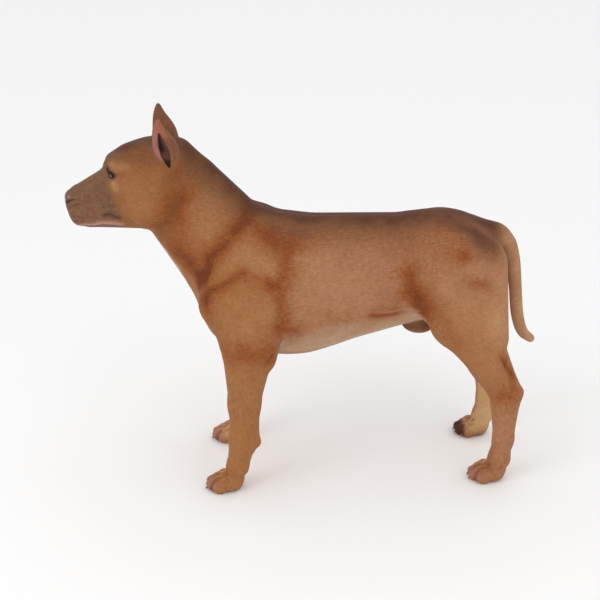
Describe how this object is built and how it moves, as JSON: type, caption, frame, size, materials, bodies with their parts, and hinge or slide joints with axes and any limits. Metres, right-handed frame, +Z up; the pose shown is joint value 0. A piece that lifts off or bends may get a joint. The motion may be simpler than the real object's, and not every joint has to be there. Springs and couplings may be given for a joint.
{
  "type": "dog statue",
  "caption": "Life-size statue of a smooth-coated bull-type dog standing square, cropped ears up, tail hanging.",
  "frame": {"origin": "middle of the bounding box on the floor the four feet stand on", "axes": "+Z up, the dog looks along -Y, its left side is +X"},
  "size_m": [0.2846, 0.8902, 0.7132],
  "materials": {
    "coat": "painted cast resin with a fine carved hair grain, satin",
    "nose": "painted cast resin, a little glossier than the coat",
    "eye": "painted and glossy varnished",
    "claw": "painted cast resin, satin"
  },
  "bodies": {
    "root": {"head": "coat", "lower_jaw": "coat", "neck": "coat", "trunk": "coat", "tail": "coat", "left_ear": "coat", "right_ear": "coat", "left_foreleg": "coat", "right_foreleg": "coat", "left_forepaw": "coat", "right_forepaw": "coat", "left_hind_leg": "coat", "right_hind_leg": "coat", "left_hind_paw": "coat", "right_hind_paw": "coat", "nose": "nose", "left_eye": "eye", "right_eye": "eye", "left_fore_claw_1": "claw", "left_fore_claw_2": "claw", "left_fore_claw_3": "claw", "left_fore_claw_4": "claw", "left_hind_claw_1": "claw", "left_hind_claw_2": "claw", "left_hind_claw_3": "claw", "left_hind_claw_4": "claw", "right_fore_claw_1": "claw", "right_fore_claw_2": "claw", "right_fore_claw_3": "claw", "right_fore_claw_4": "claw", "right_hind_claw_1": "claw", "right_hind_claw_2": "claw", "right_hind_claw_3": "claw", "right_hind_claw_4": "claw"}
  },
  "joints": []
}
